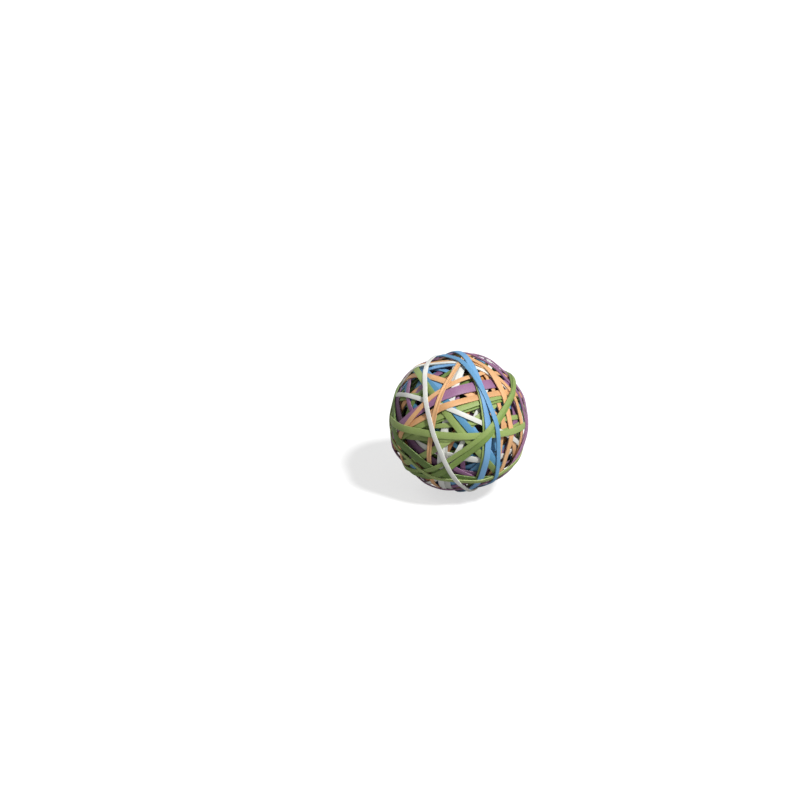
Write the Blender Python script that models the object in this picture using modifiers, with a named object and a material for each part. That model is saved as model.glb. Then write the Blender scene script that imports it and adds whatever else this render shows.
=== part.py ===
"""A rubber band ball, in metres, +Z up, with its origin at the middle of the ball.

A tight ball of inner bands carries the outer bands, which are stretched over it one after
another. Each outer band is a taut loop: it rests on the highest bands that it crosses,
runs straight from one to the next and leaves a dark gap under each straight run.
"""

from collections import namedtuple
from math import asin, cos, degrees, pi, radians, sin, sqrt, tan

import bmesh
import bpy
import numpy as np
from mathutils import Matrix, Vector
from mathutils.bvhtree import BVHTree
from mathutils.geometry import convex_hull_2d

# The rubber, as it lies stretched on the ball
RUBBER_THICKNESS = 0.0005
NARROW = 0.0027
MIDDLE = 0.0038
WIDE = 0.0055

# The ball of inner bands, with its middle at the origin
INNER_RADIUS = 0.0341
INNER_RIDGE_HEIGHT = 0.0006
INNER_RIDGE_WIDTH = 0.006
INNER_RIDGES = 14

# How the outer bands are laid
CONTACT_GAP = 0.0001
FACE_TILT = radians(25)
UNDER_BANDS = 23
AXIS_CHOICES = 180
LOOK_ROUND = 120
CROWDED_WITHIN = radians(5.5)
LOOP_CORNERS = 22
FEELERS_ROUND = 540
FEELERS_ACROSS = 9

SMOOTH_BELOW = radians(30)
GOLDEN_ANGLE = pi * (3 - sqrt(5))

# Red, green and blue of the rubber as the eye sees them, from 0 to 255
COLOURS = {
    "white": (226, 229, 222),
    "blue": (104, 163, 212),
    "orange": (224, 164, 96),
    "purple": (150, 92, 142),
    "green": (142, 168, 84),
    "inner": (74, 78, 72),
}
ROUGHNESS = 0.6
UNDER_COLOURS = ("green", "blue", "orange", "green", "purple", "blue")
UNDER_WIDTHS = (MIDDLE, NARROW, WIDE, MIDDLE, NARROW)

Band = namedtuple("Band", "name colour width heading lean shift")

# The bands that show on the face, from the lowest up to the one laid last. The face looks
# out at the front, tipped up by FACE_TILT. Heading is the band's slope across the face,
# anticlockwise from level. Lean is how far its nearest point lies from the middle of the
# face, to the left of the heading. Shift is how far the loop lies off the ball's largest
# circle. All three are in degrees.
FACE_BANDS = (
    Band("white_band_low_right", "white", MIDDLE, -12, -33, 0),
    Band("white_band_lower", "white", MIDDLE, 84, 11, 0),
    Band("white_band_slanted", "white", NARROW, 64, -13, 1),
    Band("blue_band_over_top", "blue", NARROW, -16, 57, 0),
    Band("purple_band_lower_left", "purple", WIDE, -34, -45, 0),
    Band("purple_band_low_front", "purple", NARROW, -53, -32, 0),
    Band("blue_band_upper_left", "blue", WIDE, -53, 6, -1),
    Band("orange_band_upper_left", "orange", MIDDLE, -36, 26, 0),
    Band("white_band_upper", "white", MIDDLE, 78, 10, 0),
    Band("green_band_pale", "green", MIDDLE, 36, -8, 0),
    Band("green_band_right_upper", "green", NARROW, 6, -2, 0),
    Band("orange_band_right", "orange", NARROW, -82, 40, 0),
    Band("green_band_right_lower", "green", MIDDLE, 4, -14, 0),
    Band("green_band_left", "green", NARROW, 20, 7, 0),
    Band("green_band_middle", "green", MIDDLE, 22, 10, 0),
    Band("blue_band_middle", "blue", MIDDLE, -50, 3, 0),
    Band("green_band_slanted", "green", MIDDLE, -52, -3, 0),
    Band("white_band_across", "white", NARROW, -22, 7, 0),
    Band("orange_band_middle", "orange", MIDDLE, 20, 15, 0),
    Band("purple_band_middle", "purple", WIDE, 23, 19, 6),
    Band("orange_band_upper", "orange", NARROW, 38, 30, 0),
    Band("white_band_over_top", "white", NARROW, -32, 55, 0),
    Band("orange_band_right_edge", "orange", NARROW, -45, 57, 0),
    Band("orange_band_top_right", "orange", MIDDLE, -78, 47, 0),
    Band("green_band_lower_right", "green", NARROW, -85, 22, 0),
    Band("orange_band_front", "orange", NARROW, 75, 19, 1),
    Band("green_band_lower_left", "green", WIDE, -29, -51, 0),
    Band("green_band_across", "green", MIDDLE, -2, -16, 5),
    Band("purple_band_outer_right", "purple", NARROW, -60, 70, 0),
    Band("purple_band_low_right", "purple", MIDDLE, 65, -75, 0),
    Band("blue_band_front", "blue", MIDDLE, -84, 24, 0),
    Band("green_band_front_lower", "green", MIDDLE, 46, -25, -1),
    Band("green_band_front_upper", "green", NARROW, 42, -21, 0),
    Band("green_band_low_front", "green", NARROW, -12, -57, 0),
    Band("blue_band_right", "blue", NARROW, -71, 27, 2),
    Band("white_band_front", "white", NARROW, -74, -19, -4),
)


def spread_axes(count):
    """Headings and leans of loops spread evenly round the ball, by the golden angle."""
    for number in range(count):
        yield degrees(number * GOLDEN_ANGLE) % 360, degrees(asin((number + 0.5) / count))


def loop_points(axis):
    """Points along the largest loop round an axis, on a ball of radius one."""
    turn = np.array(axis.to_track_quat("Z", "X").to_matrix())
    round_angle = np.linspace(0, 2 * pi, LOOK_ROUND, endpoint=False)
    circle = np.stack((np.cos(round_angle), np.sin(round_angle), 0 * round_angle), axis=1)
    return circle @ turn.T


def crowding(points, bands):
    """How crowded a loop would be: the bands at each of its points, squared and added."""
    axes = np.array([loop_axis(band.heading, band.lean) for band in bands])
    shifts = np.radians([band.shift for band in bands])
    off_middle = abs(np.arcsin(np.clip(points @ axes.T, -1, 1)) - shifts)
    return ((off_middle < CROWDED_WITHIN).sum(axis=1) ** 2).sum()


def under_bands():
    """The bands below those of the face. Each goes where the fewest others run."""
    choices = [
        (heading, lean, loop_points(loop_axis(heading, lean)))
        for heading, lean in spread_axes(AXIS_CHOICES)
    ]
    bands = []
    for number in range(UNDER_BANDS):
        so_far = (*FACE_BANDS, *bands)
        heading, lean, _ = min(choices, key=lambda choice: crowding(choice[2], so_far))
        colour = UNDER_COLOURS[number % len(UNDER_COLOURS)]
        width = UNDER_WIDTHS[number % len(UNDER_WIDTHS)]
        name = f"{colour}_band_under_{number + 1:02d}"
        bands.append(Band(name, colour, width, heading, lean, 0))
    return bands


def face_to_ball():
    """Turns a direction on the face (right, up, out) into the ball's own X, Y, Z."""
    right = Vector((1, 0, 0))
    up = Vector((0, sin(FACE_TILT), cos(FACE_TILT)))
    out = Vector((0, -cos(FACE_TILT), sin(FACE_TILT)))
    return Matrix((right, up, out)).transposed()


def loop_axis(heading, lean):
    """The direction that a band runs round, from its slope and place on the face."""
    along_left = Vector((-sin(radians(heading)), cos(radians(heading)), 0))
    out = Vector((0, 0, 1))
    return face_to_ball() @ (along_left * cos(radians(lean)) - out * sin(radians(lean)))


def linear(level):
    """A colour level from 0 to 255 as the linear value that a shader takes."""
    share = level / 255
    return share / 12.92 if share <= 0.04045 else ((share + 0.055) / 1.055) ** 2.4


def rubber_material(colour):
    """One rubber for each colour, shared by all the bands of that colour."""
    name = f"{colour}_rubber"
    material = bpy.data.materials.get(name)
    if material is None:
        material = bpy.data.materials.new(name)
        material.use_nodes = True
        shader = material.node_tree.nodes["Principled BSDF"]
        shader.inputs["Base Color"].default_value = (*map(linear, COLOURS[colour]), 1)
        shader.inputs["Roughness"].default_value = ROUGHNESS
        shader.inputs["Metallic"].default_value = 0
        material.diffuse_color = shader.inputs["Base Color"].default_value
    return material


def add_object(name, shape, colour, collection):
    """Makes an object of a finished bmesh, shaded smooth apart from its sharp edges."""
    mesh = bpy.data.meshes.new(name)
    shape.to_mesh(mesh)
    shape.free()
    mesh.shade_smooth()
    mesh.set_sharp_from_angle(angle=SMOOTH_BELOW)
    mesh.materials.append(rubber_material(colour))
    made = bpy.data.objects.new(name, mesh)
    collection.objects.link(made)
    return made


def add_inner_bands(collection):
    """The ball of inner bands, wound so tight that only its ridges tell them apart."""
    shape = bmesh.new()
    bmesh.ops.create_icosphere(shape, subdivisions=4, radius=INNER_RADIUS)
    axes = [loop_axis(-heading, lean) for heading, lean in spread_axes(INNER_RIDGES)]
    for vertex in shape.verts:
        outward = vertex.co.normalized()
        off_ridge = min(abs(outward.dot(axis)) for axis in axes) * INNER_RADIUS
        rise = max(0, 1 - 2 * off_ridge / INNER_RIDGE_WIDTH)
        vertex.co += outward * INNER_RIDGE_HEIGHT * rise
    return add_object("inner_bands", shape, "inner", collection)


def surface_of(made, points, faces):
    """Adds an object's finished surface to the points and faces laid so far."""
    seen = made.evaluated_get(bpy.context.evaluated_depsgraph_get())
    mesh = seen.to_mesh()
    first = len(points)
    points.extend(made.matrix_world @ vertex.co for vertex in mesh.vertices)
    faces.extend([first + index for index in face.vertices] for face in mesh.polygons)
    seen.to_mesh_clear()


def felt_profile(band, turn, laid):
    """Feels the surface under a band: its height at each step round the loop.

    The feelers point at the middle of the ball, in rows along the band and across it. Each
    height slides along the band's slope to its middle line, and the highest of a row stays.
    """
    latitude = radians(band.shift)
    level = INNER_RADIUS * sin(latitude)
    reach = band.width / 2 + CONTACT_GAP
    from_outside = 2 * INNER_RADIUS
    heights = np.zeros((FEELERS_ACROSS, FEELERS_ROUND))
    for row, across in enumerate(np.linspace(-reach, reach, FEELERS_ACROSS)):
        angle = latitude + across / INNER_RADIUS
        for place in range(FEELERS_ROUND):
            round_angle = 2 * pi * (place + 0.5) / FEELERS_ROUND
            outward = Vector((
                cos(angle) * cos(round_angle),
                cos(angle) * sin(round_angle),
                sin(angle),
            ))
            start = turn @ outward * from_outside
            found = outward * (from_outside - laid.ray_cast(start, -start)[3])
            heights[row, place] = found.xy.length / slope_scale(band, found.z - level)
    return heights.max(axis=0)


def crossed(one, two):
    """The cross products of rows of flat vectors, positive for a turn to the left."""
    return one[:, 0] * two[:, 1] - one[:, 1] * two[:, 0]


def taut_loop(profile):
    """The corners of the tightest loop that clears a profile by CONTACT_GAP.

    A taut loop rests on the highest points only. While it has more than LOOP_CORNERS
    sides, one goes when the sides next to it are run on until they meet: the one that
    moves the rubber out least.
    """
    round_angle = 2 * pi * (np.arange(len(profile)) + 0.5) / len(profile)
    directions = np.stack((np.cos(round_angle), np.sin(round_angle)), axis=1)
    points = directions * (profile + CONTACT_GAP)[:, None]
    loop = points[sorted(convex_hull_2d([Vector(point) for point in points]))]
    while len(loop) > LOOP_CORNERS:
        before, after, second = (np.roll(loop, shift, axis=0) for shift in (1, -1, -2))
        run_in, side, run_out = loop - before, after - loop, second - after
        share = crossed(side, run_out) / crossed(run_in, run_out)
        moved_out = crossed(run_in, side) * share / np.linalg.norm(side, axis=1)
        moved_out[crossed(run_in, run_out) <= 0] = np.inf
        corner = moved_out.argmin()
        loop[corner] += run_in[corner] * share[corner]
        loop = np.delete(loop, (corner + 1) % len(loop), axis=0)
    return loop


def slope_scale(band, rise):
    """How a shifted band narrows towards the pole: its size at a height above its middle."""
    latitude = radians(band.shift)
    return 1 - rise * tan(latitude) / (INNER_RADIUS * cos(latitude))


def add_band(band, laid_points, laid_faces, collection):
    """Stretches one band over all that is laid, as a ribbon with an even thickness."""
    turn = loop_axis(band.heading, band.lean).to_track_quat("Z", "X").to_matrix()
    laid = BVHTree.FromPolygons(laid_points, laid_faces)
    corners = taut_loop(felt_profile(band, turn, laid))
    latitude = radians(band.shift)
    level = INNER_RADIUS * sin(latitude)
    half_rise = band.width / 2 * cos(latitude)

    shape = bmesh.new()
    bmesh.ops.create_circle(shape, segments=len(corners), radius=INNER_RADIUS)
    low_scale = slope_scale(band, -half_rise)
    for vertex, corner in zip(shape.verts, corners):
        vertex.co = (*(corner * low_scale), level - half_rise)
    widened = bmesh.ops.extrude_edge_only(shape, edges=shape.edges[:])
    upper = [item for item in widened["geom"] if isinstance(item, bmesh.types.BMVert)]
    shrink = slope_scale(band, half_rise) / low_scale
    for vertex in upper:
        vertex.co = (vertex.co.x * shrink, vertex.co.y * shrink, level + half_rise)
    shape.normal_update()
    if shape.faces[:][0].normal.dot(shape.faces[:][0].calc_center_median()) < 0:
        bmesh.ops.reverse_faces(shape, faces=shape.faces[:])

    made = add_object(band.name, shape, band.colour, collection)
    made.rotation_euler = turn.to_euler()
    thicken = made.modifiers.new("rubber thickness", "SOLIDIFY")
    thicken.thickness = RUBBER_THICKNESS
    thicken.offset = 1
    thicken.use_even_offset = True
    bpy.context.view_layer.update()
    surface_of(made, laid_points, laid_faces)
    return made


def main():
    for old in list(bpy.data.objects):
        bpy.data.objects.remove(old, do_unlink=True)
    collection = bpy.data.collections.new("rubber_band_ball")
    bpy.context.scene.collection.children.link(collection)

    points, faces = [], []
    inner = add_inner_bands(collection)
    bpy.context.view_layer.update()
    surface_of(inner, points, faces)
    for band in (*under_bands(), *FACE_BANDS):
        add_band(band, points, faces, collection)


main()
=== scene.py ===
# %% [markdown]
# # A rubber band ball
#
# The real object is a ball of nearly three hundred coloured rubber bands, each one stretched
# round all the others. This script loads the plain solid ball and dresses it: every band
# becomes a smooth, soft-edged strip of rubber that lies on the bands below it.
#
# One unit is a metre, +Z is up and the middle of the ball is the origin.

# %% Load the plain ball
from collections import namedtuple
from math import asin, atan2, cos, pi, radians, sin, tan

import bmesh
import bpy
import numpy as np
from mathutils import Matrix, Vector
from mathutils.bvhtree import BVHTree
from mathutils.geometry import convex_hull_2d


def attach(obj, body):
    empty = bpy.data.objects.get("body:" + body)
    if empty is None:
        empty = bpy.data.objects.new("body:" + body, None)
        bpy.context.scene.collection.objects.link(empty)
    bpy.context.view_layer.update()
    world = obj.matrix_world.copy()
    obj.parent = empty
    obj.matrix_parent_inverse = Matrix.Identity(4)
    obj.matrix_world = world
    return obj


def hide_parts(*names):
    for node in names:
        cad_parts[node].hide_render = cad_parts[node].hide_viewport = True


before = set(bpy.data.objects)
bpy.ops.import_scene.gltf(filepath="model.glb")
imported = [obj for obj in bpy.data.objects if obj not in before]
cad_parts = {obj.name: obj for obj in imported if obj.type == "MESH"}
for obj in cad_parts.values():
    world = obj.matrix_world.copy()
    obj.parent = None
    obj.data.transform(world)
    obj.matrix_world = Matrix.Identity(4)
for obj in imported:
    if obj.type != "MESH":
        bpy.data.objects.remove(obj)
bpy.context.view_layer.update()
BODY = "root"
print("plain solids:", len(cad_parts))

# %% [markdown]
# ## The camera
#
# The camera looks down on the ball at 25 degrees through a long lens, so that the near bands
# don't swell. It could simply point at the ball. Here it is turned a little aside instead,
# which puts the ball right of the middle of the picture, where it was photographed.

# %% Place the camera
PICTURE_SIZE = 800
LENS_LENGTH = 85
SENSOR_WIDTH = 36
NEAREST_SEEN = 0.01
LOOKING_DOWN = radians(25)
BALL_RADIUS = 0.0404
BALL_IN_PICTURE = (458.4, 421.7)
BALL_RADIUS_IN_PICTURE = 69.6


def place_camera():
    """Makes the camera, at the distance where the ball has its size in the picture."""
    pixels_away = PICTURE_SIZE * LENS_LENGTH / SENSOR_WIDTH
    distance = pixels_away * BALL_RADIUS / BALL_RADIUS_IN_PICTURE
    forward = Vector((0, cos(LOOKING_DOWN), -sin(LOOKING_DOWN)))
    right = Vector((1, 0, 0))
    straight = Matrix((right, right.cross(forward), -forward)).transposed()
    across = BALL_IN_PICTURE[0] - PICTURE_SIZE / 2
    down = BALL_IN_PICTURE[1] - PICTURE_SIZE / 2
    to_ball = straight @ Vector((across, -down, -pixels_away)).normalized()
    aside = to_ball.rotation_difference(forward).to_matrix() @ straight

    lens = bpy.data.cameras.new("camera")
    lens.lens = LENS_LENGTH
    lens.sensor_width = SENSOR_WIDTH
    lens.clip_start = NEAREST_SEEN
    camera = bpy.data.objects.new("camera", lens)
    camera.matrix_world = Matrix.Translation(-forward * distance) @ aside.to_4x4()
    bpy.context.scene.collection.objects.link(camera)
    bpy.context.scene.camera = camera
    print("the camera stands", round(distance, 3), "m from the ball")


place_camera()

# %% [markdown]
# ## A shorthand for materials
#
# A material in Blender is a graph of nodes. Each node could be made and joined on lines of its
# own, but then a recipe is hard to follow. This small class does both in one call and gives
# back the node's output, so that a recipe reads from top to bottom.

# %% Join the nodes of a material
class Shader:
    """The nodes of one material."""

    def __init__(self, name):
        self.material = bpy.data.materials.new(name)
        self.material.use_nodes = True
        self.nodes = self.material.node_tree.nodes
        self.links = self.material.node_tree.links
        self.surface = self.nodes["Principled BSDF"]

    def put(self, socket, value):
        """Gives a socket a plain value, or joins it to another node's output."""
        if isinstance(value, bpy.types.NodeSocket):
            self.links.new(value, socket)
        else:
            socket.default_value = value

    def add(self, kind, output, settings=None, **inputs):
        """Adds a node with its settings and inputs, and gives back one of its outputs."""
        node = self.nodes.new(kind)
        for name, value in (settings or {}).items():
            setattr(node, name, value)
        for name, value in inputs.items():
            self.put(node.inputs[name.replace("_", " ")], value)
        return node.outputs[output]

    def noise(self, where, scale, detail=2.0):
        """A soft random pattern, from 0 to 1, with about scale blots to a metre."""
        return self.add("ShaderNodeTexNoise", "Fac", Vector=where, Scale=scale, Detail=detail)

    def spread(self, value, low, high, to_low, to_high):
        """Stretches the range low to high of a value over another range."""
        return self.add(
            "ShaderNodeMapRange",
            "Result",
            Value=value,
            From_Min=low,
            From_Max=high,
            To_Min=to_low,
            To_Max=to_high,
        )

    def total(self, value, times, more):
        """A value times a number, plus more."""
        output = self.add("ShaderNodeMath", "Value", {"operation": "MULTIPLY_ADD"})
        for socket, given in zip(output.node.inputs, (value, times, more)):
            self.put(socket, given)
        return output

    def mix(self, share, first, second):
        """Mixes two colours."""
        node = self.nodes.new("ShaderNodeMix")
        node.data_type = "RGBA"
        self.put(node.inputs["Factor"], share)
        self.put(node.inputs[6], first)
        self.put(node.inputs[7], second)
        return node.outputs[2]


print("a shader can:", *(name for name in vars(Shader) if not name.startswith("_")))

# %% [markdown]
# ## The rubber
#
# Rubber bands are cut from a soft coloured tube. Their faces are semi-matt with fine lines
# along their length, and a dusting of talc keeps them from sticking. A flat colour would look
# like plastic, so each rubber is built up in layers: the dyed colour, slow changes in it
# where the band is stretched more or less, the pale talc, and fine lines for roughness and
# bumps.
#
# Every band also carries a number called tone, so that one rubber serves all the bands of a
# colour. A tone above 0 gives a paler band. One below 0 gives a darker, more saturated band,
# whose hue drifts a little too, as it does where rubber is thicker or lies in shade. A tone is
# partly the band's own and partly painted shade and light, for how the light falls on it.

# %% Mix the rubbers
RUBBERS = {
    "white": (228, 229, 223),
    "blue": (108, 163, 209),
    "orange": (222, 168, 114),
    "purple": (154, 105, 145),
    "green": (142, 165, 86),
}
HUE_DRIFTS = {"white": 0.0, "blue": 0.01, "orange": 0.008, "purple": 0.01, "green": -0.016}
NO_HUE_DRIFT = 0.5
TONE_LIGHTENS = 0.3
TONE_DESATURATES = -0.12
NOISE_MOSTLY = (0.3, 0.7)
STRETCH_BLOTS, STRETCH_SHARE = 70, 0.06
LINES_ALONG, LINES_ACROSS, STREAK_SHARE = 90, 4200, 0.04
ROUGHNESS = (0.46, 0.64)
GLOSS = 0.45
LINE_STRENGTH, LINE_DEPTH = 0.25, 0.00006
TALC = (236, 232, 224)
TALC_BLOTS, TALC_FROM, TALC_TO = 2200, 0.4, 0.8
# The cut edges take more pale talc than the faces. It is partly dust and partly a painted highlight
# on the lit rim.
TALC_ON_FACES, TALC_AND_HIGHLIGHT_ON_CUTS = 0.12, 0.4


def linear(levels):
    """Colour levels from 0 to 255 as the linear values that a shader takes."""
    shares = [level / 255 for level in levels]
    return [s / 12.92 if s <= 0.04045 else ((s + 0.055) / 1.055) ** 2.4 for s in shares]


def dye_and_shade_colour(shader, place, lines, levels, hue_drift):
    """The colour of a rubber: its dye, changed by its stretch, its fine lines and a band's tone,
    which also carries painted shade.
    """
    tone = shader.add("ShaderNodeAttribute", "Fac", {"attribute_name": "tone"})
    blots = shader.noise(place, STRETCH_BLOTS, 2)
    stretch = shader.spread(blots, *NOISE_MOSTLY, -STRETCH_SHARE, STRETCH_SHARE)
    streaks = shader.spread(lines, *NOISE_MOSTLY, -STREAK_SHARE, STREAK_SHARE)
    changes = shader.total(stretch, 1.0, shader.total(streaks, 1.0, 1.0))
    return shader.add(
        "ShaderNodeHueSaturation",
        "Color",
        Color=(*linear(levels), 1),
        # Hue, saturation and value follow the tone, which carries painted shade and light as well
        # as the band's own tone.
        Hue=shader.total(tone, hue_drift, NO_HUE_DRIFT),
        Saturation=shader.total(tone, TONE_DESATURATES, 1.0),
        Value=shader.total(tone, TONE_LIGHTENS, changes),
    )


def dyed_rubber(name, levels, talc_and_highlight_share, hue_drift=0.0):
    """A rubber in one colour with fine lines along the band, and pale talc on it, which on the cut
    edges is partly a painted highlight.
    """
    shader = Shader(name)
    place = shader.add("ShaderNodeTexCoord", "Object")
    along = shader.add("ShaderNodeUVMap", "UV", {"uv_map": "along_band"})
    drawn_out = (LINES_ALONG, LINES_ACROSS, 1)
    lines_at = shader.add("ShaderNodeMapping", "Vector", Vector=along, Scale=drawn_out)
    lines = shader.noise(lines_at, 1.0, 3.0)

    shaded_dye = dye_and_shade_colour(shader, place, lines, levels, hue_drift)
    dust = shader.noise(place, TALC_BLOTS, 3)
    talc_and_highlight = shader.spread(dust, TALC_FROM, TALC_TO, 0.0, talc_and_highlight_share)
    shader.put(shader.surface.inputs["Base Color"], shader.mix(talc_and_highlight, shaded_dye, (*linear(TALC), 1)))
    shader.put(shader.surface.inputs["Roughness"], shader.spread(lines, *NOISE_MOSTLY, *ROUGHNESS))
    grain = shader.add(
        "ShaderNodeBump", "Normal", Height=lines, Strength=LINE_STRENGTH, Distance=LINE_DEPTH
    )
    shader.put(shader.surface.inputs["Normal"], grain)
    shader.surface.inputs["Metallic"].default_value = 0.0
    shader.surface.inputs["Specular IOR Level"].default_value = GLOSS
    print("mixed", name)
    return shader.material


faces_of, highlit_cuts_of = {}, {}
for colour, levels in RUBBERS.items():
    drift = HUE_DRIFTS[colour]
    faces_of[colour] = dyed_rubber(f"{colour}_rubber_face", levels, TALC_ON_FACES, drift)
    # The cut rubber is paler, partly as a painted highlight on the lit rim.
    highlit_cuts_of[colour] = dyed_rubber(f"{colour}_rubber_cut_with_painted_highlight", levels, TALC_AND_HIGHLIGHT_ON_CUTS, drift)

# %% [markdown]
# ## Which band lies on which
#
# The look of such a ball comes from the order in which its bands were put on. The list runs
# from the lowest band of the face to the last, with the tone of each. The tones are partly the
# bands' own, as bands differ in real life with their age and with how far they are stretched,
# and partly painted shade and light: bands low on the left are darkened as shade, and some
# others are made lighter or darker for how the light falls on them. The numbered under bands
# come before them, in the order of their numbers, and get a tone picked by chance from a dark
# range, which is painted shade.

# %% List the bands from the lowest up
# Partly each band's own tone and partly painted shade and light. white_band_lower,
# purple_band_lower_left and green_band_lower_left are darkened as shade.
TONES_AND_SHADE = {
    "white_band_low_right": -0.1,
    "white_band_lower": -0.8,
    "white_band_slanted": 0.0,
    "blue_band_over_top": 0.2,
    "purple_band_lower_left": -2.0,
    "purple_band_low_front": -0.7,
    "blue_band_upper_left": -0.1,
    "orange_band_upper_left": 0.1,
    "white_band_upper": 0.1,
    "green_band_pale": 0.5,
    "green_band_right_upper": 0.3,
    "orange_band_right": 0.0,
    "green_band_right_lower": 0.2,
    "green_band_left": -0.6,
    "green_band_middle": 0.1,
    "blue_band_middle": -0.9,
    "green_band_slanted": 0.0,
    "white_band_across": -0.3,
    "orange_band_middle": -0.1,
    "purple_band_middle": -0.2,
    "orange_band_upper": 0.1,
    "white_band_over_top": 0.1,
    "orange_band_right_edge": 0.1,
    "orange_band_top_right": 0.2,
    "green_band_lower_right": 0.2,
    "orange_band_front": 0.2,
    "green_band_lower_left": -1.5,
    "green_band_across": 0.2,
    "purple_band_outer_right": -0.4,
    "purple_band_low_right": 0.1,
    "blue_band_front": 0.0,
    "green_band_front_lower": -0.8,
    "green_band_front_upper": -0.2,
    "green_band_low_front": 0.4,
    "blue_band_right": -0.4,
    "white_band_front": 0.2,
}
# The under bands' tones come by chance from a dark range, which is painted shade.
UNDER_SHADE_TONES = (-1.8, -0.2)
FOLDED = ("orange_band_front", "green_band_left")
under_bands = [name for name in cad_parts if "_under_" in name]
order = [*sorted(under_bands, key=lambda name: name[-2:]), *TONES_AND_SHADE]
print("bands to lay:", len(order))

# %% [markdown]
# ## The plane of each band
#
# A stretched band finds the shortest way round the ball, which is a flat loop. The plain
# solid already shows which way that loop runs, how wide the band is and how far the loop
# lies off the ball's middle, so these are measured from it and nothing is typed in twice.

# %% Measure the plain bands
Loop = namedtuple("Loop", "turn level half_rise latitude")
inner_points = np.array([point.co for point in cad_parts["inner_bands"].data.vertices])
inner_radius = np.linalg.norm(inner_points, axis=1).min()
print("the inner ball's radius is", round(1000 * inner_radius, 2), "mm")


def measure_loop(name):
    """Reads from a plain band the turn of its loop, its width and its place."""
    points = np.array([point.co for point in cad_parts[name].data.vertices])
    axis = Vector(np.linalg.svd(points - points.mean(axis=0), full_matrices=False)[2][2])
    heights = points @ np.array(axis)
    level = (heights.min() + heights.max()) / 2
    half_rise = (heights.max() - heights.min()) / 2
    turn = axis.to_track_quat("Z", "X").to_matrix()
    return Loop(turn, level, half_rise, asin(level / inner_radius))


loops = {name: measure_loop(name) for name in order}
widths = sorted(round(2000 * loop.half_rise, 1) for loop in loops.values())
print("band widths run from", widths[0], "to", widths[-1], "mm")

# %% [markdown]
# ## Feeling what lies below
#
# Before a band is laid, its bed is felt with rays that point at the middle of the ball, in
# rows from one edge of the band to the other. The bed could also be read from the meshes that
# are already made, but rays find the highest of them at once, whatever lies there.

# %% Feel the bed
RUBBER_THICKNESS = 0.00074
FEELERS_ROUND = 360
FEELERS_ACROSS = 7


def narrowing(loop, rise):
    """How the loop narrows with height where it lies off the ball's middle."""
    return 1 - rise * tan(loop.latitude) / (inner_radius * cos(loop.latitude))


def felt_rows(loop, wander, bed):
    """The height of the bed under each row of a band, at each step round its loop."""
    reach = loop.half_rise / cos(loop.latitude)
    round_angle = 2 * pi * np.arange(FEELERS_ROUND) / FEELERS_ROUND
    rows = []
    for across in np.linspace(-reach, reach, FEELERS_ACROSS):
        angle = loop.latitude + (across + wander(round_angle)) / inner_radius
        flat = np.cos(angle)
        outward = (flat * np.cos(round_angle), flat * np.sin(round_angle), np.sin(angle))
        outward = np.stack(outward, axis=1)
        starts = 2 * inner_radius * outward @ np.array(loop.turn).T
        found = [bed.ray_cast(Vector(start), -Vector(start))[3] for start in starts]
        places = outward * (2 * inner_radius - np.array(found))[:, None]
        height = np.hypot(places[:, 0], places[:, 1])
        rows.append(height / narrowing(loop, places[:, 2] - loop.level))
    return np.array(rows)


print("feelers under each band:", FEELERS_ROUND * FEELERS_ACROSS)

# %% [markdown]
# ## Pulling taut
#
# A taut edge touches only the highest places, so the loop of each edge is the convex hull of
# what its rows have felt. The two edges are pulled taut one by one, because a real band tilts
# where it rides over the side of another. Physics could be simulated instead, but the hull
# gives the same taut shape at once. The hull's corners are then rounded, as rubber does.

# %% Pull the edges taut
BED_GAP = 0.0001
STATIONS = 200
SOFT_BEND = 2.2
STEEPEST_TILT = 0.32


def pulled_taut(heights, count):
    """The radius of the tightest loop round a row of heights, at count even steps."""
    round_angle = 2 * pi * np.arange(len(heights)) / len(heights)
    points = np.stack((np.cos(round_angle), np.sin(round_angle)), axis=1) * heights[:, None]
    corners = points[sorted(convex_hull_2d([Vector(point) for point in points]))]
    ends = np.roll(corners, -1, axis=0)
    corner_angle = np.arctan2(corners[:, 1], corners[:, 0]) % (2 * pi)
    at = 2 * pi * np.arange(count) / count
    side = np.searchsorted(corner_angle, at, side="right") - 1
    start, run = corners[side], (ends - corners)[side]
    toward = np.stack((np.cos(at), np.sin(at)), axis=1)
    area = start[:, 0] * run[:, 1] - start[:, 1] * run[:, 0]
    return area / (toward[:, 0] * run[:, 1] - toward[:, 1] * run[:, 0])


def softened(heights):
    """Rounds the corners of a loop over SOFT_BEND steps to each side."""
    steps = np.fft.rfftfreq(len(heights), 1 / len(heights))
    keep = np.exp(-0.5 * (2 * pi * steps * SOFT_BEND / len(heights)) ** 2)
    return np.fft.irfft(np.fft.rfft(heights) * keep, len(heights))


def taut_edges(rows, half_rise):
    """The heights of a band's two edges round its loop, with no tilt past STEEPEST_TILT."""
    middle = FEELERS_ACROSS // 2
    left = softened(pulled_taut(rows[: middle + 1].max(axis=0) + BED_GAP, STATIONS))
    right = softened(pulled_taut(rows[middle:].max(axis=0) + BED_GAP, STATIONS))
    most = 2 * half_rise * STEEPEST_TILT
    return np.maximum(left, right - most), np.maximum(right, left - most)


print("places along each edge:", STATIONS)

# %% [markdown]
# ## The outer face of a band
#
# The outer face is a grid of places: five rows from edge to edge, each with its stations round
# the loop. The face is crowned a little, because stretched rubber pulls in at its edges. A
# folded band has a groove along its middle, where two runs of the same band lie side by side.

# %% Shape the outer face
ROWS = 5
WANDER = 0.00028
WIDTH_CHANGE = 0.05
FOLD_DEPTH = 0.00045
CROWN = 0.05


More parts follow.
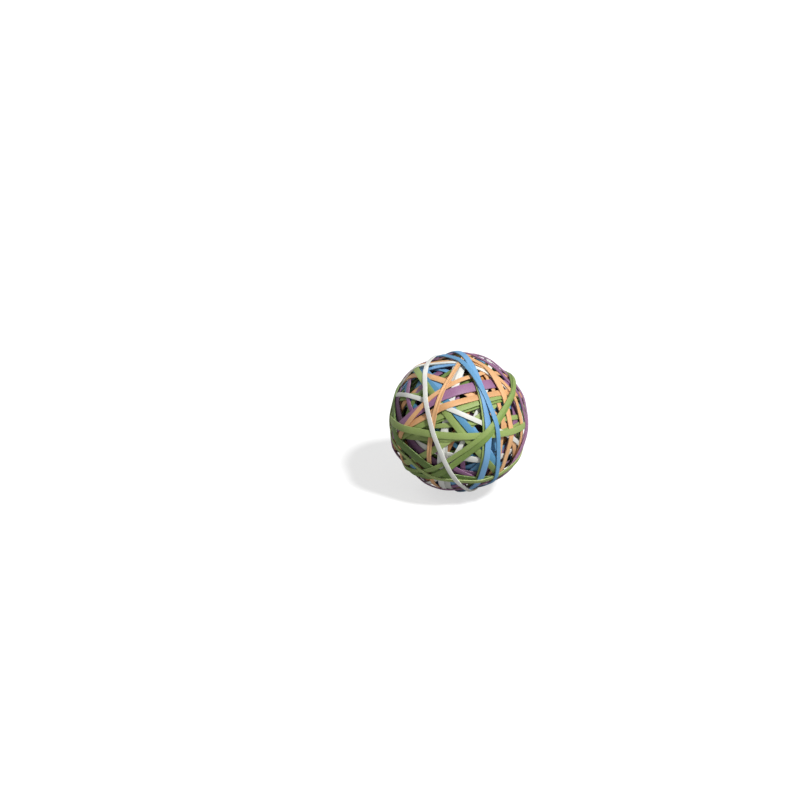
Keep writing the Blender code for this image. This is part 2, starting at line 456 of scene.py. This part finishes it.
def band_grid(loop, left, right, wander, widen, groove):
    """The places of a band's outer face, one row of stations after another."""
    round_angle = 2 * pi * np.arange(len(left)) / len(left)
    tilt = (right - left) / (2 * loop.half_rise)
    places = []
    for across in np.linspace(-1, 1, ROWS):
        rise = across * loop.half_rise * widen(round_angle) / np.sqrt(1 + tilt**2)
        height = (left + right) / 2 + across * (right - left) / 2 + RUBBER_THICKNESS
        bulge = CROWN * 2 * loop.half_rise * (1 - across**2) - (groove if across == 0 else 0)
        height = height * narrowing(loop, rise) + bulge
        level = loop.level + wander(round_angle) + rise
        local = (height * np.cos(round_angle), height * np.sin(round_angle), level)
        places.append(np.stack(local, axis=1) @ np.array(loop.turn).T)
    return np.array(places)


print("places on each outer face:", ROWS * STATIONS)

# %% [markdown]
# ## From a circle to a band
#
# A band starts as a circle of edges, which is extruded into a short tube of five rows. Each
# row is then moved to its place on the outer face. The strip is unrolled onto a pattern map
# in metres, so that the fine lines run along the band and are as fine on every band.

# %% Make the strip
def tube_of_rows(shape, stations):
    """Fills a bmesh with a tube of ROWS rows, one unit apart."""
    bmesh.ops.create_circle(shape, segments=stations, radius=1)
    rim = shape.edges[:]
    for _ in range(ROWS - 1):
        grown = bmesh.ops.extrude_edge_only(shape, edges=rim)["geom"]
        rim = [item for item in grown if isinstance(item, bmesh.types.BMEdge)]
        rim = [edge for edge in rim if all(vert in grown for vert in edge.verts)]
        moved = [item for item in grown if isinstance(item, bmesh.types.BMVert)]
        bmesh.ops.translate(shape, verts=moved, vec=(0, 0, 1))


def unroll(shape, places, station_of, row_of):
    """Writes for each corner how far along and across the band it lies."""
    along_band = shape.loops.layers.uv["along_band"]
    stations = places.shape[1]
    length = np.linalg.norm(np.diff(places[ROWS // 2], axis=0), axis=1).sum()
    width = np.linalg.norm(places[-1, 0] - places[0, 0])
    for face in shape.faces:
        crosses_start = {station_of[vert] for vert in face.verts} == {0, stations - 1}
        for corner in face.loops:
            station = station_of[corner.vert]
            if crosses_start and station == 0:
                station = stations
            row = row_of[corner.vert]
            corner[along_band].uv = (length * station / stations, width * row / (ROWS - 1))


def band_mesh(name, places, tone):
    """Makes the strip of faces of a band, with its pattern map and its tone."""
    shape = bmesh.new()
    shape.loops.layers.uv.new("along_band")
    tones = shape.verts.layers.float.new("tone")
    stations = places.shape[1]
    tube_of_rows(shape, stations)
    station_of = {
        vert: round(atan2(vert.co.y, vert.co.x) * stations / (2 * pi)) % stations
        for vert in shape.verts
    }
    row_of = {vert: round(vert.co.z) for vert in shape.verts}
    unroll(shape, places, station_of, row_of)
    for vert in shape.verts:
        vert[tones] = tone
        vert.co = places[row_of[vert], station_of[vert]]
    shape.normal_update()
    shape.faces.ensure_lookup_table()
    if shape.faces[0].normal.dot(shape.faces[0].calc_center_median()) < 0:
        bmesh.ops.reverse_faces(shape, faces=shape.faces[:])

    mesh = bpy.data.meshes.new(name)
    shape.to_mesh(mesh)
    shape.free()
    mesh.shade_smooth()
    return mesh


print("faces on each strip:", (ROWS - 1) * STATIONS)

# %% [markdown]
# ## Thickness and soft edges
#
# Solidify gives the rubber its thickness and a small bevel softens the cut edges. The cut
# edges get their own rubber with more talc, which makes them paler than the faces. This
# paleness is partly talc and partly a painted highlight, the lit rim of each band.
# Both are modifiers, so the strip below stays easy to change.

# %% Finish a band
EDGE_BEVEL = 0.00014
SHARP_EDGE = radians(60)


def finish_band(name, mesh, colour):
    """Gives a strip its thickness, soft edges and rubber, and makes it part of the ball."""
    mesh.materials.append(faces_of[colour])
    mesh.materials.append(highlit_cuts_of[colour])
    band = bpy.data.objects.new(name, mesh)
    bpy.context.scene.collection.objects.link(band)
    thick = band.modifiers.new("rubber thickness", "SOLIDIFY")
    thick.thickness = RUBBER_THICKNESS
    thick.offset = -1
    thick.material_offset_rim = 1
    soft = band.modifiers.new("soft cut edges", "BEVEL")
    soft.limit_method = "ANGLE"
    soft.angle_limit = SHARP_EDGE
    soft.width = EDGE_BEVEL
    soft.segments = 2
    soft.harden_normals = True
    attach(band, BODY)
    return band


print("the rubber is", 1000 * RUBBER_THICKNESS, "mm thick")

# %% [markdown]
# ## Small slow waves
#
# Waves in the path and the width keep the loops from looking drawn with compasses: a band
# slips a little sideways where it crosses a slope, and it is narrower where it is stretched
# more. They could be noise, but a sum of whole waves joins up where the loop closes. The
# waves come from a seeded generator, so the ball is the same in every run.

# %% Make slow waves
WAVE_COUNTS = (2, 3, 4)
WAVE_SHRINKS = (1, 1.5, 2)
WEAKEST_WAVE = 0.4
chance = np.random.default_rng(7)


def slow_wave(size):
    """A gentle closed wave of about the given size, never quite the same twice."""
    starts = chance.uniform(0, 2 * pi, len(WAVE_COUNTS))
    sizes = size * chance.uniform(WEAKEST_WAVE, 1.0, len(WAVE_COUNTS)) / WAVE_SHRINKS

    def wave(angle):
        parts = zip(WAVE_COUNTS, sizes, starts)
        return sum(part * np.sin(count * angle + start) for count, part, start in parts)

    return wave


print("waves round each loop:", *WAVE_COUNTS)

# %% [markdown]
# ## Winding the ball
#
# The bands go on in their order, and each one becomes part of the bed of the next. The bed is
# a plain list of places and faces that grows with every band, and it has half the stations of
# the bands themselves, which is quick to feel and close enough.

# %% Lay the bands
BED_STATIONS = 100
plain_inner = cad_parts["inner_bands"].data
bed_points = [point.co.copy() for point in plain_inner.vertices]
bed_faces = [list(face.vertices) for face in plain_inner.polygons]


def add_to_bed(places):
    """Adds a band's outer face and sides to the bed, with fewer stations."""
    step = places.shape[1] // BED_STATIONS
    inner_share = 1 - RUBBER_THICKNESS / np.linalg.norm(places[0], axis=1).mean()
    lower, upper = places[0, ::step], places[-1, ::step]
    first = len(bed_points)
    for edge in (lower * inner_share, lower, upper, upper * inner_share):
        bed_points.extend(Vector(place) for place in edge)
    for line in range(3):
        for station in range(BED_STATIONS):
            following = (station + 1) % BED_STATIONS
            corners = (line, station), (line, following), (line + 1, following), (line + 1, station)
            bed_faces.append([first + row * BED_STATIONS + at for row, at in corners])


def lay_band(node):
    """Lays one band on all that is laid so far."""
    loop = loops[node]
    wander, change = slow_wave(WANDER), slow_wave(WIDTH_CHANGE)
    rows = felt_rows(loop, wander, BVHTree.FromPolygons(bed_points, bed_faces))
    left, right = taut_edges(rows, loop.half_rise)
    tone = TONES_AND_SHADE.get(node, chance.uniform(*UNDER_SHADE_TONES))
    groove = FOLD_DEPTH if node in FOLDED else 0
    places = band_grid(loop, left, right, wander, lambda angle: 1 + change(angle), groove)
    add_to_bed(places)
    name = node.replace("_band_", "_rubber_band_")
    band = finish_band(name, band_mesh(name, places, tone), node.split("_")[0])
    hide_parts(node)
    return np.linalg.norm(places, axis=2).max()


reaches = [lay_band(node) for node in order]
print("the highest band reaches", round(1000 * max(reaches), 1), "mm from the middle")

# %% [markdown]
# ## The bands deep inside
#
# Between the outer bands the eye falls on more bands, wound so tight that they look like a
# ball of strips. They could be a painted ball, but then the gaps would look flat. Here they
# are strips round the ball, each one a hair further out or in than its neighbours, so that
# every edge catches its own thin line of shadow. Their headings go round by the golden angle,
# which never repeats, and each colour's strips are one piece.

# %% Wind the inside
INSIDE_BANDS = 90
INSIDE_STATIONS = 96
INSIDE_WIDTH = 0.0042
INSIDE_LOW = 0.0327
INSIDE_HIGH = 0.0339
INSIDE_THICKNESS = 0.0005
# The deep bands' low tone paints them dark and saturated, as the shade between the outer bands.
INSIDE_SHADE_TONE = -2.5
GOLDEN_ANGLE = pi * (3 - 5**0.5)
GOLDEN_SHARE = 0.618034


def add_deep_band(shape, number):
    """Adds one deep band to a bmesh, as a circle that is extruded to its width."""
    heading, lean = number * GOLDEN_ANGLE, asin((number + 0.5) / INSIDE_BANDS)
    axis = Vector((cos(heading) * cos(lean), sin(heading) * cos(lean), sin(lean)))
    turn = axis.to_track_quat("Z", "X").to_matrix().to_4x4()
    radius = INSIDE_LOW + (INSIDE_HIGH - INSIDE_LOW) * ((number * GOLDEN_SHARE) % 1)
    low = turn @ Matrix.Translation((0, 0, -INSIDE_WIDTH / 2))
    circle = bmesh.ops.create_circle(shape, segments=INSIDE_STATIONS, radius=radius, matrix=low)
    edges = {edge for vert in circle["verts"] for edge in vert.link_edges}
    grown = bmesh.ops.extrude_edge_only(shape, edges=list(edges))["geom"]
    upper = [item for item in grown if isinstance(item, bmesh.types.BMVert)]
    bmesh.ops.translate(shape, verts=upper, vec=turn.to_3x3() @ Vector((0, 0, INSIDE_WIDTH)))


def plain_mesh(name, shape, tone, rubber):
    """Turns a bmesh into a smooth mesh of one tone and one rubber."""
    shape.loops.layers.uv.new("along_band")
    tones = shape.verts.layers.float.new("tone")
    for vert in shape.verts:
        vert[tones] = tone
    mesh = bpy.data.meshes.new(name)
    shape.to_mesh(mesh)
    shape.free()
    mesh.shade_smooth()
    mesh.materials.append(rubber)
    return mesh


def inside_bands(colour, numbers):
    """One piece with all the deep bands of one colour."""
    shape = bmesh.new()
    for number in numbers:
        add_deep_band(shape, number)
    shape.normal_update()
    inward = [face for face in shape.faces if face.normal.dot(face.calc_center_median()) < 0]
    bmesh.ops.reverse_faces(shape, faces=inward)
    name = f"{colour}_bands_deep_inside"
    mesh = plain_mesh(name, shape, INSIDE_SHADE_TONE, faces_of[colour])
    made = bpy.data.objects.new(name, mesh)
    bpy.context.scene.collection.objects.link(made)
    thick = made.modifiers.new("rubber thickness", "SOLIDIFY")
    thick.thickness = INSIDE_THICKNESS
    thick.offset = -1
    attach(made, BODY)


for first_number, colour in enumerate(RUBBERS):
    inside_bands(colour, range(first_number, INSIDE_BANDS, len(RUBBERS)))
print("deep bands:", INSIDE_BANDS)

# %% [markdown]
# ## The heart of the ball
#
# Deeper still there are only more bands, in shade too deep to tell them apart. A plain ball,
# painted dark as that shade, sits just below the deep bands, closes the last gaps and takes
# the place of the plain inner solid.

# %% Close the gaps
HEART_RADIUS = 0.0324
HEART_ROUNDS = 5
# The heart's dark colour is painted shade, for the bands deep inside that lie in shadow.
HEART_SHADE_COLOUR, HEART_TALC = (60, 62, 58), 0.2


def dark_heart():
    """The ball below the deep bands, which fills the last gaps."""
    shape = bmesh.new()
    bmesh.ops.create_icosphere(shape, subdivisions=HEART_ROUNDS, radius=HEART_RADIUS)
    rubber = dyed_rubber("heart_rubber", HEART_SHADE_COLOUR, HEART_TALC)
    mesh = plain_mesh("heart_of_the_ball", shape, 0, rubber)
    heart = bpy.data.objects.new("heart_of_the_ball", mesh)
    bpy.context.scene.collection.objects.link(heart)
    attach(heart, BODY)
    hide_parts("inner_bands")
    print("the heart has", len(mesh.polygons), "faces")


dark_heart()

# %% [markdown]
# ## The floor
#
# The ball lies on a plain white floor. So much white would bleach the rubber from below, so
# the floor glows only where the camera sees it, and it still takes the ball's shadow.

# %% Lay the floor
FLOOR_SIZE = 6
FLOOR_LEVEL = -0.0417
FLOOR_CORNERS = 64
FLOOR_ROUGHNESS = 0.9
FLOOR_GLOW = 0.62
FLOOR_SEEN, FLOOR_UNSEEN = 0.46, 0.35
WHITE = (1, 1, 1, 1)


def white_floor():
    """A matt white that is brighter to the camera than to the ball."""
    shader = Shader("white_floor")
    seen = shader.add("ShaderNodeLightPath", "Is Camera Ray")
    paint = shader.total(seen, FLOOR_SEEN - FLOOR_UNSEEN, FLOOR_UNSEEN)
    shader.put(shader.surface.inputs["Base Color"], paint)
    shader.surface.inputs["Roughness"].default_value = FLOOR_ROUGHNESS
    shader.surface.inputs["Emission Color"].default_value = WHITE
    shader.put(shader.surface.inputs["Emission Strength"], shader.total(seen, FLOOR_GLOW, 0.0))
    return shader.material


def add_floor():
    """A wide round floor that touches the lowest band."""
    shape = bmesh.new()
    bmesh.ops.create_circle(shape, cap_ends=True, segments=FLOOR_CORNERS, radius=FLOOR_SIZE / 2)
    bmesh.ops.translate(shape, verts=shape.verts[:], vec=(0, 0, FLOOR_LEVEL))
    mesh = bpy.data.meshes.new("floor")
    shape.to_mesh(mesh)
    shape.free()
    mesh.materials.append(white_floor())
    floor = bpy.data.objects.new("floor", mesh)
    bpy.context.scene.collection.objects.link(floor)
    print("the floor is", FLOOR_SIZE, "m wide")


add_floor()

# %% [markdown]
# ## The light
#
# A far lamp, high in front and to the right, shapes the ball, and two weak ones keep its right
# side and its back from going dark. They are suns, which light the whole floor alike. The sky
# fills the shadows a little, and is white only where the camera sees it.

# %% Set the lamps and the sky
SKY_SEEN, SKY_UNSEEN = 1.0, 0.19
# For each lamp: where it stands as seen from the ball, how many degrees wide it is, its power
LAMPS = {
    "soft lamp, above": ((0.5, -0.42, 0.85), 9, 3.3),
    "weak lamp, right": ((0.8, -0.5, 0.3), 40, 0.3),
    "weak lamp, behind": ((-0.6, 0.55, 0.55), 40, 0.8),
}


def add_lamp(name, direction, width, power):
    """A soft far lamp that shines from a direction."""
    light = bpy.data.lights.new(name, "SUN")
    light.energy = power
    light.angle = radians(width)
    lamp = bpy.data.objects.new(name, light)
    lamp.rotation_euler = Vector(direction).to_track_quat("Z", "Y").to_euler()
    bpy.context.scene.collection.objects.link(lamp)


def add_sky():
    """A pale sky, which is white where the camera sees it."""
    sky = bpy.data.worlds.new("pale sky")
    sky.use_nodes = True
    nodes, links = sky.node_tree.nodes, sky.node_tree.links
    seen = nodes.new("ShaderNodeLightPath").outputs["Is Camera Ray"]
    strength = nodes.new("ShaderNodeMapRange")
    links.new(seen, strength.inputs["Value"])
    strength.inputs["To Min"].default_value = SKY_UNSEEN
    strength.inputs["To Max"].default_value = SKY_SEEN
    links.new(strength.outputs["Result"], nodes["Background"].inputs["Strength"])
    nodes["Background"].inputs["Color"].default_value = WHITE
    bpy.context.scene.world = sky


for name, (direction, width, power) in LAMPS.items():
    add_lamp(name, direction, width, power)
add_sky()
bpy.context.scene.view_settings.view_transform = "Standard"
print("lamps:", ", ".join(LAMPS))

# %% [markdown]
